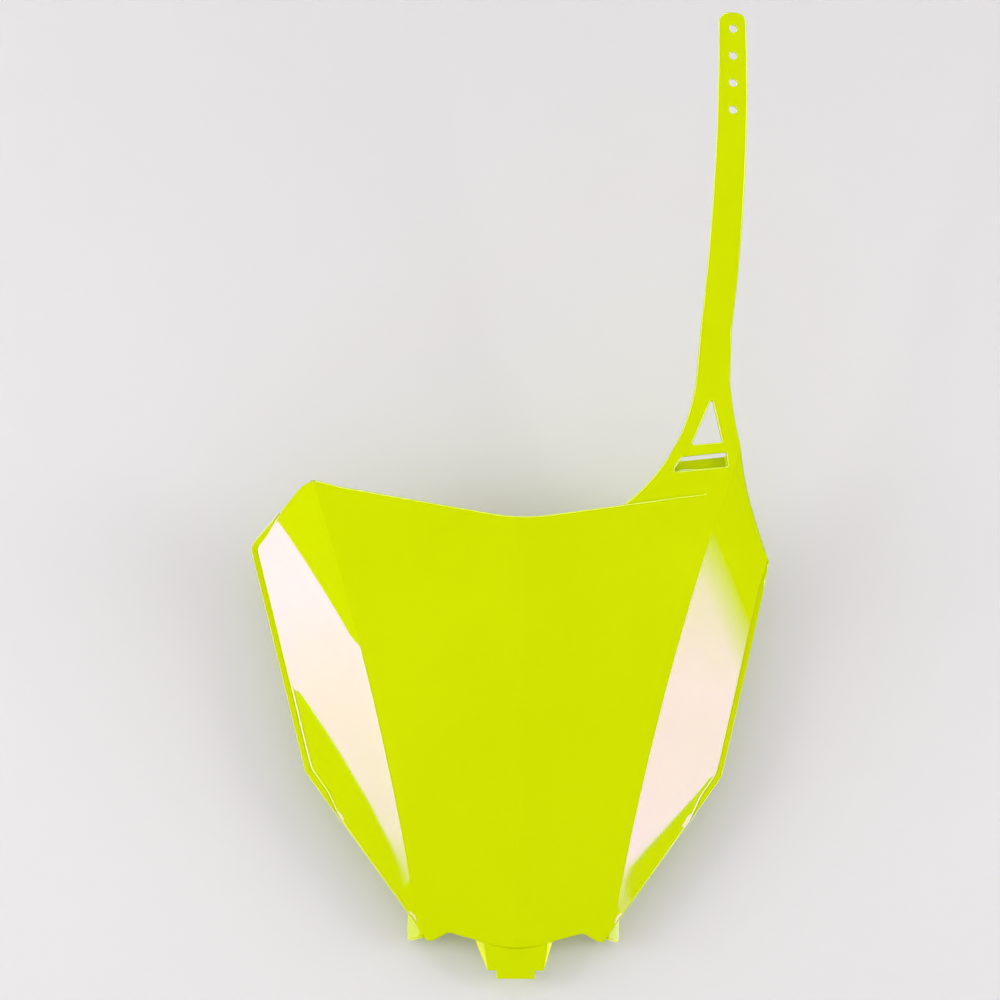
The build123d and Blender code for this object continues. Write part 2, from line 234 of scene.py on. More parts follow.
def through(height, values):
    """Value at a height of the parabola through the values at toe, waist and shoulder."""
    first = (values[1] - values[0]) / (HEIGHTS[1] - HEIGHTS[0])
    second = (values[2] - values[1]) / (HEIGHTS[2] - HEIGHTS[1])
    bend = (second - first) / (HEIGHTS[2] - HEIGHTS[0])
    return values[0] + (height - HEIGHTS[0]) * (first + bend * (height - HEIGHTS[1]))


def wing_depth(half_width, height):
    """Depth of the wing's face at a distance from the middle and a height."""
    fold = through(height, FOLDS)
    return KEEL_SLOPE * fold + through(height, SLOPES) * (half_width - fold)


print("fold runs from", FOLD_TOE, "to", FOLD_SHOULDER, "mm off the middle")

# %% [markdown]
# Seen from the front, the outline is straight lines with rounded corners. The two sides
# differ only at the top: the left has a brow, and the right has the corner that the strap
# grows from. Each boundary is a line of points that can be asked for a height or a width.

# %% Corners of the outline
TOP_MIDDLE, TOP_BLEND = 209.8, 80.0
TOP_RISE = math.radians(9.3)
TOP_VERTEX = TOP_MIDDLE - TOP_BLEND * (1 / math.cos(TOP_RISE) - 1)
LIP_HALF, LIP_HEIGHT, LIP_DROP = 18.5, 17.2, 3.5
STRAP_CORNER_HALF, BROW_BEND_HALF, BROW_HALF, BROW_RISE = 90.0, 84.0, 98.7, 1.5
STRAP_CORNER_ROUND, BROW_ROUND = 5.0, 11.0
SHOULDER_ROUND, WAIST_ROUND, NOTCH_ROUND = 5.0, 6.0, 4.0


def on_top_edge(x, rise=0.0):
    """Front-view point on the straight part of the top edge, or above it by a rise."""
    return Vector((x, TOP_VERTEX + x * math.tan(TOP_RISE) + rise))


NOTCH = Vector((30.7, 20.4))
TOE_END = Vector((37.3, 16.7))
TOE = Vector((TOE_HALF, TOE_HEIGHT))
WAIST = Vector((WAIST_HALF, WAIST_HEIGHT))
SHOULDER = Vector((SHOULDER_HALF, SHOULDER_HEIGHT))
STRAP_CORNER = on_top_edge(STRAP_CORNER_HALF)
BROW_BEND = on_top_edge(BROW_BEND_HALF)
BROW = on_top_edge(BROW_HALF, BROW_RISE)
print("brow at", round(BROW.y, 1), "mm, strap corner at", round(STRAP_CORNER.y, 1), "mm")

# %% Lines of the outline
ARC_POINTS = 8


def rounded(corners, radii, steps=10):
    """A line through corners in which each corner with a radius is an arc of short steps."""
    line = []
    for index, (corner, radius) in enumerate(zip(corners, radii)):
        if radius == 0:
            line.append(corner.copy())
            continue
        before = (corners[index - 1] - corner).normalized()
        after = (corners[(index + 1) % len(corners)] - corner).normalized()
        half = before.angle(after) / 2
        centre = corner + (before + after).normalized() * (radius / math.sin(half))
        start = corner + before * (radius / math.tan(half)) - centre
        end = corner + after * (radius / math.tan(half)) - centre
        for step in range(steps + 1):
            line.append(centre + start.lerp(end, step / steps).normalized() * radius)
    return line


def rising_arc(low, radius, half):
    """Points of an arc that is level at the middle of the board and rises outwards."""
    places = np.linspace(0, half, ARC_POINTS)
    return [Vector((x, low + radius - math.sqrt(radius**2 - x**2))) for x in places]


def bottom_line():
    """The bottom edge of one half, from the middle out to the waist."""
    radius = (LIP_HALF**2 + LIP_DROP**2) / (2 * LIP_DROP)
    lip = rising_arc(LIP_HEIGHT - LIP_DROP, radius, LIP_HALF)
    return lip + rounded([lip[-1], NOTCH, TOE_END, TOE, WAIST], [0, NOTCH_ROUND, 0, 0, 0])[1:]


def top_line(corner, corner_round):
    """The top edge of one half, from the middle out to the shoulder."""
    line = rising_arc(TOP_MIDDLE, TOP_BLEND, TOP_BLEND * math.sin(TOP_RISE))
    if corner is BROW:
        line.append(BROW_BEND)
    return line + rounded([line[-1], corner, SHOULDER], [0, corner_round, 0])[1:]


def side_line(corner, corner_round):
    """The side of one half, from the toe up to its top corner."""
    inner = BROW_BEND if corner is BROW else Vector((0, TOP_VERTEX))
    corners = [TOE, WAIST, SHOULDER, corner, inner]
    line = rounded(corners, [0, WAIST_ROUND, SHOULDER_ROUND, corner_round, 0])
    highest = max(range(len(line)), key=lambda index: line[index].y)
    return line[:highest + 1]


def height_at(line, x):
    """Height of a boundary at a distance from the middle."""
    return float(np.interp(x, [p.x for p in line], [p.y for p in line]))


def width_at(line, height):
    """Distance from the middle of a boundary at a height."""
    return float(np.interp(height, [p.y for p in line], [p.x for p in line]))


RIGHT_SIDE = side_line(STRAP_CORNER, STRAP_CORNER_ROUND)
RIGHT_TOP = top_line(STRAP_CORNER, STRAP_CORNER_ROUND)
LEFT_SIDE = side_line(BROW, BROW_ROUND)
LEFT_TOP = top_line(BROW, BROW_ROUND)
print("right side has", len(RIGHT_SIDE), "points, left side has", len(LEFT_SIDE))

# %% [markdown]
# Each wing is edged by a narrow rim that faces forwards, so the wing's own sheet stops a
# little inside the outline. The rim is followed as stations along the outline. It starts
# below the waist and tapers out at both ends: on the left it turns the shoulder first.

# %% Stations of the rims
RIM_WIDTH, RIM_LAP, RIM_SETBACK, RIM_EDGE = 2.5, 1.1, 0.15, 0.35
RIM_FADE, RIM_TAPER, RIM_LEAST = 26.0, 12.0, 0.2
RIM_STEP = 2.5
LEFT_RIM_SHARE, RIGHT_RIM_GAP = 0.55, 1.5


def fine_line(line, step):
    """The same line with more points, so that no part of it is longer than a step."""
    points = [line[0]]
    for p in line[1:]:
        start = points[-1]
        count = max(1, math.ceil((p - start).length / step))
        points += [start.lerp(p, share / count) for share in range(1, count + 1)]
    return points


def rim_stations(side, end_height):
    """Outer points of a rim, each with its inward direction and its share of the full width."""
    low = (WAIST + (TOE - WAIST).normalized() * RIM_FADE).y
    line = [p for p in fine_line(side, RIM_STEP) if low <= p.y <= end_height]
    lengths = np.cumsum([0.0] + [(after - before).length for before, after in zip(line, line[1:])])
    stations = []
    for index, p in enumerate(line):
        ahead = line[min(index + 1, len(line) - 1)] - line[max(index - 1, 0)]
        inwards = Vector((-ahead.y, ahead.x)).normalized()
        nearest_end = min(lengths[index], lengths[-1] - lengths[index])
        stations.append((p, inwards, max(RIM_LEAST, min(1.0, nearest_end / RIM_TAPER))))
    return stations


def sheet_edge(height, side, rim):
    """How far out the wing's sheet reaches at a height, inside the rim."""
    outline = width_at(side, height)
    inner = [p + inwards * (RIM_WIDTH * share) for p, inwards, share in rim]
    if inner[0].y < height < inner[-1].y:
        return min(outline, width_at(inner, height))
    return outline


RIGHT_RIM = rim_stations(RIGHT_SIDE, SHOULDER.y - RIGHT_RIM_GAP)
LEFT_RIM = rim_stations(LEFT_SIDE, SHOULDER.lerp(BROW, LEFT_RIM_SHARE).y)
print("right rim has", len(RIGHT_RIM), "stations, left rim has", len(LEFT_RIM))

# %% [markdown]
# The sheet is first laid out flat, as a net of quads in the front view. Columns fill the
# panel and rows fill the wing, and both meet along the fold, so edges run along the fold
# and the finished shading is clean. A last row close to every outer edge keeps the shading
# of the rounded edge from spreading inwards. The bend comes afterwards from a node tree.

# %% Spacing of the net
ROW_STEP, WING_COLUMNS, PANEL_ROWS = 2.5, 14, 30
DENSE_SPAN, DENSE_ROWS = 6.0, 6
EDGE_GAP = 1.1
EDGE_ROOM = 3 * EDGE_GAP
HALVINGS = 40


def meeting_height(side, low, high):
    """Height between two others at which the side crosses the fold."""
    def gap(height):
        return width_at(side, height) - through(height, FOLDS)

    for _ in range(HALVINGS):
        middle = (low + high) / 2
        if gap(low) * gap(middle) <= 0:
            high = middle
        else:
            low = middle
    return (low + high) / 2


def between(low, high, steps):
    """Values from one end to the other, with one close to the far end if there is room for it."""
    span = high - low
    inner, count = (span - EDGE_GAP, steps - 1) if span > EDGE_ROOM else (span, 1)
    shares = [round(count * step / (steps - 1)) / count for step in range(steps)]
    return [low + inner * share for share in shares] + [high]


print("the last row lies", EDGE_GAP, "mm inside the edge")

# %% Flat net of the board
FOLD_CLEARANCE = 0.3
KEEL_COLUMNS = (0.6 * KEEL_ROUND, 1.2 * KEEL_ROUND)
TOP_TURNS = 20
NET_MERGE, ON_FOLD = 0.02, 0.01


def lay_half(shape, hand, side, top, rim, wing_top):
    """Adds one half of the flat net to a bmesh. hand is 1 for the right half, -1 for the left."""
    start = meeting_height(side, TOE_HEIGHT, WAIST_HEIGHT)
    dense_from = wing_top - DENSE_SPAN
    heights = list(np.linspace(start, dense_from, int((dense_from - start) / ROW_STEP)))
    heights += list(np.linspace(dense_from, wing_top, DENSE_ROWS))[1:]
    side_top = wing_top if hand > 0 else side[-1].y
    stretch = (side_top - start) / (wing_top - start)

    def point(x, height):
        return shape.verts.new((hand * x, 0.0, height))

    def fill(first, second):
        for low in range(len(first) - 1):
            corners = [first[low], second[low], second[low + 1], first[low + 1]]
            shape.faces.new(corners if hand > 0 else reversed(corners))

    columns = []
    for p in bottom_line():
        if p.x < through(start, FOLDS) - FOLD_CLEARANCE:
            columns.append((p.x, p.y))
        if p.x == 0:
            columns += [(x, p.y) for x in KEEL_COLUMNS]
    rows = []
    for height in heights:
        fold = through(height, FOLDS)
        columns.append((fold, height))
        outer_height = start + (height - start) * stretch
        edge = max(sheet_edge(outer_height, side, rim), fold)
        rise = (outer_height - height) / max(edge - fold, EDGE_GAP)
        rows.append([(x, height + rise * (x - fold)) for x in between(fold, edge, WING_COLUMNS)])
    rows[-1] = [(x, height_at(top, x)) for x, height in rows[-1]]
    panel = []
    for x, low in columns:
        high = max(height_at(top, x), low)
        panel.append([point(x, height) for height in between(low, high, PANEL_ROWS)])
    for first, second in zip(panel, panel[1:]):
        fill(first, second)
    wing = [[point(x, height) for x, height in row] for row in rows]
    for low, high in zip(wing, wing[1:]):
        for column in range(WING_COLUMNS):
            fill([low[column], high[column]], [low[column + 1], high[column + 1]])


def lay_net(shape):
    """Both halves of the net, joined along the keel and the folds."""
    right_top = meeting_height(RIGHT_SIDE, SHOULDER_HEIGHT, STRAP_CORNER.y)
    left_top = BROW.y
    for _ in range(TOP_TURNS):
        left_top = height_at(LEFT_TOP, through(left_top, FOLDS))
    lay_half(shape, 1, RIGHT_SIDE, RIGHT_TOP, RIGHT_RIM, right_top)
    lay_half(shape, -1, LEFT_SIDE, LEFT_TOP, LEFT_RIM, left_top)
    bmesh.ops.remove_doubles(shape, verts=shape.verts[:], dist=NET_MERGE)
    bmesh.ops.dissolve_degenerate(shape, edges=shape.edges[:], dist=NET_MERGE)
    for edge in shape.edges:
        edge.smooth = any(abs(abs(v.co.x) - through(v.co.z, FOLDS)) > ON_FOLD for v in edge.verts)


flat_net = mesh_from("board_net", lay_net)
print("flat net:", len(flat_net.vertices), "points,", len(flat_net.polygons), "faces")

# %% [markdown]
# Geometry Nodes suit a piece whose shape is a rule. This tree takes the flat net and sets
# each point's depth: the panel's slope from the keel, and past the fold the extra slope of
# the wing. Inside the fold that extra is cut off at zero, so the fold is a crisp line.

# %% Helpers for node trees


def calculate(tree, operation, *values):
    """A Math node fed with sockets or plain numbers. Returns its output socket."""
    node = tree.nodes.new("ShaderNodeMath")
    node.operation = operation
    for slot_index, value in enumerate(values):
        if isinstance(value, (int, float)):
            node.inputs[slot_index].default_value = value
        else:
            tree.links.new(value, node.inputs[slot_index])
    return node.outputs[0]


def parabola(tree, height, marks, values):
    """Math nodes for the parabola through three values at three heights."""
    def slope(first, second):
        rise = calculate(tree, "SUBTRACT", values[second], values[first])
        return calculate(tree, "DIVIDE", rise, calculate(tree, "SUBTRACT", marks[second], marks[first]))

    first = slope(0, 1)
    span = calculate(tree, "SUBTRACT", marks[2], marks[0])
    bend = calculate(tree, "DIVIDE", calculate(tree, "SUBTRACT", slope(1, 2), first), span)
    from_toe = calculate(tree, "SUBTRACT", height, marks[0])
    from_waist = calculate(tree, "SUBTRACT", height, marks[1])
    grade = calculate(tree, "MULTIPLY_ADD", bend, from_waist, first)
    return calculate(tree, "MULTIPLY_ADD", grade, from_toe, values[0])


def new_tree(name, inputs):
    """An empty geometry tree with a mesh in, a mesh out, a material and named numbers."""
    tree = bpy.data.node_groups.new(name, "GeometryNodeTree")
    tree.interface.new_socket("Geometry", in_out="INPUT", socket_type="NodeSocketGeometry")
    for label in inputs:
        tree.interface.new_socket(label, in_out="INPUT", socket_type="NodeSocketFloat")
    tree.interface.new_socket("Material", in_out="INPUT", socket_type="NodeSocketMaterial")
    tree.interface.new_socket("Geometry", in_out="OUTPUT", socket_type="NodeSocketGeometry")
    return tree


def end_tree(tree, geometry, material):
    """Ends a tree in Realize Instances and Set Material."""
    realize = tree.nodes.new("GeometryNodeRealizeInstances")
    finish_node = tree.nodes.new("GeometryNodeSetMaterial")
    result = tree.nodes.new("NodeGroupOutput")
    tree.links.new(geometry, realize.inputs[0])
    tree.links.new(realize.outputs[0], finish_node.inputs["Geometry"])
    tree.links.new(material, finish_node.inputs["Material"])
    tree.links.new(finish_node.outputs[0], result.inputs[0])


def add_tree(piece, tree, values):
    """Adds a tree to an object and sets its named inputs by their sockets' identifiers."""
    modifier = piece.modifiers.new(tree.name, "NODES")
    modifier.node_group = tree
    for item in tree.interface.items_tree:
        if item.in_out == "INPUT" and item.name in values:
            modifier[item.identifier] = values[item.name]


print("node trees so far:", len(bpy.data.node_groups))

# %% Node tree for the rule of the face
PLACES = ("toe", "waist", "shoulder")
RULES = {"Height at ": HEIGHTS, "Fold at ": FOLDS, "Slope at ": SLOPES}
RULE_INPUTS = {"Keel slope": KEEL_SLOPE, "Keel round": KEEL_ROUND}
for label, values in RULES.items():
    RULE_INPUTS.update({label + place: value for place, value in zip(PLACES, values)})


def build_face_rule():
    """Geometry tree that bends the flat net into the board's face."""
    tree = new_tree("face_rule", RULE_INPUTS)
    entry = tree.nodes.new("NodeGroupInput").outputs
    spread = tree.nodes.new("ShaderNodeSeparateXYZ")
    tree.links.new(tree.nodes.new("GeometryNodeInputPosition").outputs[0], spread.inputs[0])
    x, height = spread.outputs["X"], spread.outputs["Z"]
    marks, folds, slopes = ([entry[label + place] for place in PLACES] for label in RULES)
    fold = parabola(tree, height, marks, folds)
    slope = parabola(tree, height, marks, slopes)
    mirrored_x = calculate(tree, "MULTIPLY", x, -1.0)
    keel_reach = calculate(tree, "MULTIPLY", entry["Keel round"], 2.0)
    half = calculate(tree, "SMOOTH_MAX", x, mirrored_x, keel_reach)
    panel = calculate(tree, "MULTIPLY", half, entry["Keel slope"])
    extra = calculate(tree, "SUBTRACT", slope, entry["Keel slope"])
    wing = calculate(tree, "MULTIPLY", extra, calculate(tree, "SUBTRACT", half, fold))
    turned = calculate(tree, "MAXIMUM", wing, 0.0)
    place = tree.nodes.new("ShaderNodeCombineXYZ")
    tree.links.new(x, place.inputs["X"])
    tree.links.new(calculate(tree, "ADD", panel, turned), place.inputs["Y"])
    tree.links.new(height, place.inputs["Z"])
    bend = tree.nodes.new("GeometryNodeSetPosition")
    tree.links.new(entry["Geometry"], bend.inputs["Geometry"])
    tree.links.new(place.outputs[0], bend.inputs["Position"])
    end_tree(tree, bend.outputs[0], entry["Material"])
    return tree


face_rule = build_face_rule()
print("face rule has", len(face_rule.nodes), "nodes")

# %% [markdown]
# The bent sheet gets its wall with Solidify. Its outer edges are then rounded in a bmesh
# and not by a modifier, because the edges where the skin runs on into the web stay sharp.
# Faces are shaded smooth, but edges sharper than a set angle stay crisp.

# %% Finish of a piece
EDGE_ANGLE, CRISP_ANGLE = math.radians(50.0), math.radians(35.0)
EDGE_SEGMENTS, SOFT_SEGMENTS = 4, 3


def evaluated_mesh(piece):
    """The plain mesh that an object and its modifiers give."""
    graph = bpy.context.evaluated_depsgraph_get()
    graph.update()
    return bpy.data.meshes.new_from_object(piece.evaluated_get(graph))


def plain_mesh(piece):
    """Makes an object's modifiers real and returns its new mesh."""
    mesh = evaluated_mesh(piece)
    mesh.name = piece.name
    piece.modifiers.clear()
    piece.data = mesh
    return mesh


def soften_edges(piece, width):
    """Adds a narrow rounded bevel to an object's sharp edges."""
    bevel = piece.modifiers.new("soft_edges", "BEVEL")
    bevel.width = width
    bevel.segments = SOFT_SEGMENTS
    bevel.limit_method = "ANGLE"
    bevel.angle_limit = EDGE_ANGLE
    bevel.use_clamp_overlap = False


def shade_crisp(shape):
    """Smooth shading, with crisp edges along the folds and where faces meet at a steep angle."""
    for face in shape.faces:
        face.smooth = True
    for edge in shape.edges:
        if edge.calc_face_angle(0.0) > CRISP_ANGLE:
            edge.smooth = False


def finish_piece(piece):
    """Makes an object's modifiers real, sets it in the CAD frame and gives it the plastic."""
    mesh = plain_mesh(piece)
    set_in_frame(mesh)
    mesh.materials.clear()
    mesh.materials.append(yellow_plastic)
    edit_mesh(mesh, shade_crisp)
    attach(piece, "root")
    print(piece.name, "has", len(mesh.polygons), "faces")


print("edges sharper than", round(math.degrees(EDGE_ANGLE)), "degrees are rounded")

# %% Skin of the board
EDGE_ROUND = 0.8
FLUSH_FROM = 86.0


def round_skin(shape):
    """Rounds the skin's outer edges, except where the strap's corner runs on into the web."""
    edges = []
    for edge in shape.edges:
        flush = all(v.co.x > FLUSH_FROM and v.co.z > SHOULDER_HEIGHT for v in edge.verts)
        if edge.calc_face_angle(0.0) > EDGE_ANGLE and not flush:
            edges.append(edge)
    bmesh.ops.bevel(shape, geom=edges, offset=EDGE_ROUND, offset_type="OFFSET", segments=EDGE_SEGMENTS,
                    profile=0.5, affect="EDGES", clamp_overlap=False)


board_skin = add_object("board_skin", flat_net)
add_tree(board_skin, face_rule, {**RULE_INPUTS, "Material": yellow_plastic})
thicken = board_skin.modifiers.new("wall", "SOLIDIFY")
thicken.thickness = WALL
thicken.offset = -1.0
thicken.use_even_offset = True
edit_mesh(plain_mesh(board_skin), round_skin)
finish_piece(board_skin)
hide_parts("number_board")

# %% [markdown]
# The rims are strips of the same wall. At every station a strip has the depth of the wing
# that it edges and faces straight forwards, so it reads as a thin flat border.

# %% Rims of the wings


def face_outwards(shape):
    """Turns all faces of closed shapes outwards."""
    bmesh.ops.recalc_face_normals(shape, faces=shape.faces[:])


def join_rings(shape, rings):
    """Joins rings with the same number of points by faces, and closes both ends."""
    for low, high in zip(rings, rings[1:]):
        for index in range(len(low)):
            after = (index + 1) % len(low)
            shape.faces.new([low[index], low[after], high[after], high[index]])
    shape.faces.new(rings[0])
    shape.faces.new(list(reversed(rings[-1])))


def small_piece(name, lay, edge_round):
    """A finished piece with soft edges from a function that lays its solids in a bmesh."""
    piece = add_object(name, mesh_from(name, lay))
    soften_edges(piece, edge_round)
    finish_piece(piece)
    return piece


def lay_rims(shape):
    """Both rims, each a tube with a rectangle at every station."""
    for hand, rim in ((1, RIGHT_RIM), (-1, LEFT_RIM)):
        rings = []
        for p, inwards, share in rim:
            inner = p + inwards * (RIM_WIDTH * share)
            lap = inner + inwards * (RIM_LAP * share)
            near = wing_depth(inner.x, inner.y) + RIM_SETBACK
            corners = [(lap, near), (p, near), (p, near + WALL), (lap, near + WALL)]
            rings.append([shape.verts.new((hand * spot.x, depth, spot.y)) for spot, depth in corners])
        join_rings(shape, rings)
    face_outwards(shape)


wing_rims = small_piece("wing_rims", lay_rims, RIM_EDGE)

# %% [markdown]
# The web behind the upper right corner and the strap that rises from it are one sheet. A
# flat curve draws it in the front view, with the slot and the window as inner loops,
# because a filled curve gets its wall and its rounded edges without more work. Its places
# are measured from the panel's strap corner.

# %% Outline of web and strap
WEB_LAP, WEB_ROOT_LAP, WEB_END_GAP, WEB_ROOT_INBOARD = 2.4, 4.0, 3.0, 42.6
WEB_SIDE, WEB_LEFT_BULGE, WEB_RIGHT_BULGE = (23.0, -3.7), (-19.0, 19.8), (12.8, 25.3)
LEFT_NECK, RIGHT_NECK = (-8.1, 53.3), (8.3, 53.3)
STEP_RISE, STEP_LENGTH, STEP_LEFT, STEP_RIGHT = 73.8, 4.3, -5.9, 9.1
BOW_LEFT, BOW_RIGHT = 0.6, 15.6
STRAP_RISE, STRAP_END_X, STRAP_END_HALF, STRAP_END_ROUND = 231.2, 9.2, 6.75, 5.0


def from_corner(x, rise):
    """A front-view point measured from the strap corner of the panel."""
    return STRAP_CORNER + Vector((x, rise))


def arc(start, middle, end, steps=24):
    """Points on the circle through three points, without the last one."""
    turn_mid, turn_end = middle - start, end - start
    scale = 2 * (turn_mid.x * turn_end.y - turn_mid.y * turn_end.x)
    first = turn_end.y * turn_mid.length_squared - turn_mid.y * turn_end.length_squared
    second = turn_mid.x * turn_end.length_squared - turn_end.x * turn_mid.length_squared
    centre = start + Vector((first, second)) / scale
    from_angle = math.atan2(start.y - centre.y, start.x - centre.x)
    to_angle = math.atan2(end.y - centre.y, end.x - centre.x)
    sweep_angle = (to_angle - from_angle + math.pi) % (2 * math.pi) - math.pi
    radius = (start - centre).length
    points = []
    for step in range(steps):
        angle = from_angle + sweep_angle * step / steps
        points.append(centre + Vector((math.cos(angle), math.sin(angle))) * radius)
    return points


def web_loop():
    """Outer loop of web and strap, as front-view points."""
    root = on_top_edge(STRAP_CORNER.x - WEB_ROOT_INBOARD)
    along = (SHOULDER - STRAP_CORNER).normalized()
    lap = Vector((along.y, -along.x)) * WEB_LAP
    last = SHOULDER - along * WEB_END_GAP
    step_top = STEP_RISE + STEP_LENGTH
    middle = (step_top + STRAP_RISE) / 2
    left_neck, right_neck = from_corner(*LEFT_NECK), from_corner(*RIGHT_NECK)
    left_step, right_step = from_corner(STEP_LEFT, step_top), from_corner(STEP_RIGHT, step_top)
    left_end = from_corner(STRAP_END_X - STRAP_END_HALF, STRAP_RISE)
    right_end = from_corner(STRAP_END_X + STRAP_END_HALF, STRAP_RISE)
    side = from_corner(*WEB_SIDE)
    tip = rounded([left_step, left_end, right_end, right_step], [0, STRAP_END_ROUND, STRAP_END_ROUND, 0])
    loop = arc(root, from_corner(*WEB_LEFT_BULGE), left_neck) + [left_neck]
    loop += arc(left_step, from_corner(BOW_LEFT, middle), tip[1]) + tip[1:-2]
    loop += arc(tip[-2], from_corner(BOW_RIGHT, middle), right_step) + [right_step]
    loop += arc(right_neck, from_corner(*WEB_RIGHT_BULGE), side) + [side]
    loop += [last, last + lap, STRAP_CORNER + lap, root - Vector((0, WEB_ROOT_LAP))]
    return loop


web_outline = web_loop()
print("outline of web and strap has", len(web_outline), "points")

# %% Slot, window and flat sheet
WEB_WALL, WEB_EDGE = 2.6, 0.95
SLOT_TILT = math.tan(math.radians(7.3))
SLOT_LEFT, SLOT_RIGHT, SLOT_BASE, SLOT_OPENING = -18.9, 7.4, 9.3, 6.5
SLOT_LEFT_LEAN, SLOT_RIGHT_LEAN, SLOT_ROUND = 4.8, 0.9, 0.8
WINDOW_LEFT, WINDOW_RIGHT, WINDOW_TIP_X = -9.9, 4.5, -0.4
WINDOW_GAP, WINDOW_RISE, WINDOW_ROUND = 5.2, 22.2, 0.6
CORNER_STEPS = 5


def slot_loop():
    """Loop of the slot that the strap is threaded through."""
    lift = SLOT_TILT * (SLOT_RIGHT - SLOT_LEFT)
    corners = [
        from_corner(SLOT_LEFT, SLOT_BASE),
        from_corner(SLOT_RIGHT, SLOT_BASE + lift),
        from_corner(SLOT_RIGHT - SLOT_RIGHT_LEAN, SLOT_BASE + lift + SLOT_OPENING),
        from_corner(SLOT_LEFT + SLOT_LEFT_LEAN, SLOT_BASE + SLOT_TILT * SLOT_LEFT_LEAN + SLOT_OPENING),
    ]
    return rounded(corners, [SLOT_ROUND] * len(corners), CORNER_STEPS)


def window_loop():
    """Loop of the three-cornered window above the slot."""
    base = SLOT_BASE + SLOT_OPENING + WINDOW_GAP - SLOT_TILT * SLOT_LEFT / 2
    corners = [
        from_corner(WINDOW_LEFT, base),
        from_corner(WINDOW_RIGHT, base + SLOT_TILT * (WINDOW_RIGHT - WINDOW_LEFT)),
        from_corner(WINDOW_TIP_X, base + WINDOW_RISE),
    ]
    return rounded(corners, [WINDOW_ROUND] * len(corners), CORNER_STEPS)


def filled_sheet(name, loops, wall, edge):
    """A flat curve filled between loops, with a wall and rounded edges, as a plain mesh."""
    curve = bpy.data.curves.new(name, "CURVE")
    curve.dimensions = "2D"
    curve.fill_mode = "BOTH"
    curve.extrude = wall / 2 - edge
    curve.bevel_depth = edge
    curve.bevel_resolution = EDGE_SEGMENTS
    curve.offset = -edge
    for loop in loops:
        spline = curve.splines.new("POLY")
        spline.points.add(len(loop) - 1)
        for spot, p in zip(spline.points, loop):
            spot.co = (p.x, p.y, 0.0, 1.0)
        spline.use_cyclic_u = True
    drawing = add_object(name, curve)
    mesh = evaluated_mesh(drawing)
    bpy.data.objects.remove(drawing)
    return mesh


web_mesh = filled_sheet("strap_web", [web_outline, slot_loop(), window_loop()], WEB_WALL, WEB_EDGE)
print("flat web and strap:", len(web_mesh.polygons), "faces")

# %% [markdown]
# The row of strap holes repeats at an even pitch, so a small node tree makes it: a line of
# points, a round cutter on each of them, and one boolean that takes them out of the sheet.

# %% Strap holes
HOLE_DIAMETER, HOLE_PITCH, HOLE_COUNT, HOLE_MARGIN = 4.0, 13.2, 4, 8.1
HOLE_SIDES, CUTTER_DEPTH = 32, 4 * WEB_WALL
TOUCHING = 0.001
HOLE_INPUTS = {
    "Hole diameter": HOLE_DIAMETER,
    "Hole pitch": HOLE_PITCH,
    "First hole X": STRAP_CORNER.x + STRAP_END_X,
    "First hole height": STRAP_CORNER.y + STRAP_RISE - HOLE_MARGIN,
}


def build_hole_row():
    """Geometry tree that cuts a row of round holes down a flat strap."""
    tree = new_tree("hole_row", HOLE_INPUTS)
    entry = tree.nodes.new("NodeGroupInput").outputs
    first = tree.nodes.new("ShaderNodeCombineXYZ")
    tree.links.new(entry["First hole X"], first.inputs["X"])
    tree.links.new(entry["First hole height"], first.inputs["Y"])
    step = tree.nodes.new("ShaderNodeCombineXYZ")
    tree.links.new(calculate(tree, "MULTIPLY", entry["Hole pitch"], -1.0), step.inputs["Y"])
    row = tree.nodes.new("GeometryNodeMeshLine")
    row.inputs["Count"].default_value = HOLE_COUNT
    tree.links.new(first.outputs[0], row.inputs["Start Location"])
    tree.links.new(step.outputs[0], row.inputs["Offset"])
    cutter = tree.nodes.new("GeometryNodeMeshCylinder")
    cutter.inputs["Vertices"].default_value = HOLE_SIDES
    cutter.inputs["Depth"].default_value = CUTTER_DEPTH
    tree.links.new(calculate(tree, "DIVIDE", entry["Hole diameter"], 2.0), cutter.inputs["Radius"])
    cutters = tree.nodes.new("GeometryNodeInstanceOnPoints")
    tree.links.new(row.outputs[0], cutters.inputs["Points"])
    tree.links.new(cutter.outputs["Mesh"], cutters.inputs["Instance"])
    solid_cutters = tree.nodes.new("GeometryNodeRealizeInstances")
    tree.links.new(cutters.outputs[0], solid_cutters.inputs[0])
    cut = tree.nodes.new("GeometryNodeMeshBoolean")
    cut.operation = "DIFFERENCE"
    cut.solver = "EXACT"
    tree.links.new(entry["Geometry"], cut.inputs["Mesh 1"])
    tree.links.new(solid_cutters.outputs[0], cut.inputs["Mesh 2"])
    end_tree(tree, cut.outputs["Mesh"], entry["Material"])
    return tree


def merge_points(shape):
    """Joins points that lie on each other and turns the faces outwards."""
    bmesh.ops.remove_doubles(shape, verts=shape.verts[:], dist=TOUCHING)
    face_outwards(shape)


edit_mesh(web_mesh, merge_points)
strap_web = add_object("strap_web", web_mesh)
add_tree(strap_web, build_hole_row(), {**HOLE_INPUTS, "Material": yellow_plastic})
plain_mesh(strap_web)
print("web and strap with", HOLE_COUNT, "holes:", len(strap_web.data.polygons), "faces")

# %% [markdown]
# The flat sheet is now bent. The web runs parallel to the panel and a little behind it, a
# corner of it carries the wing on upwards, and the strap is thinner than the web, with a
# short ramp between the two. The sheet is first cut along those lines, so that it can bend.

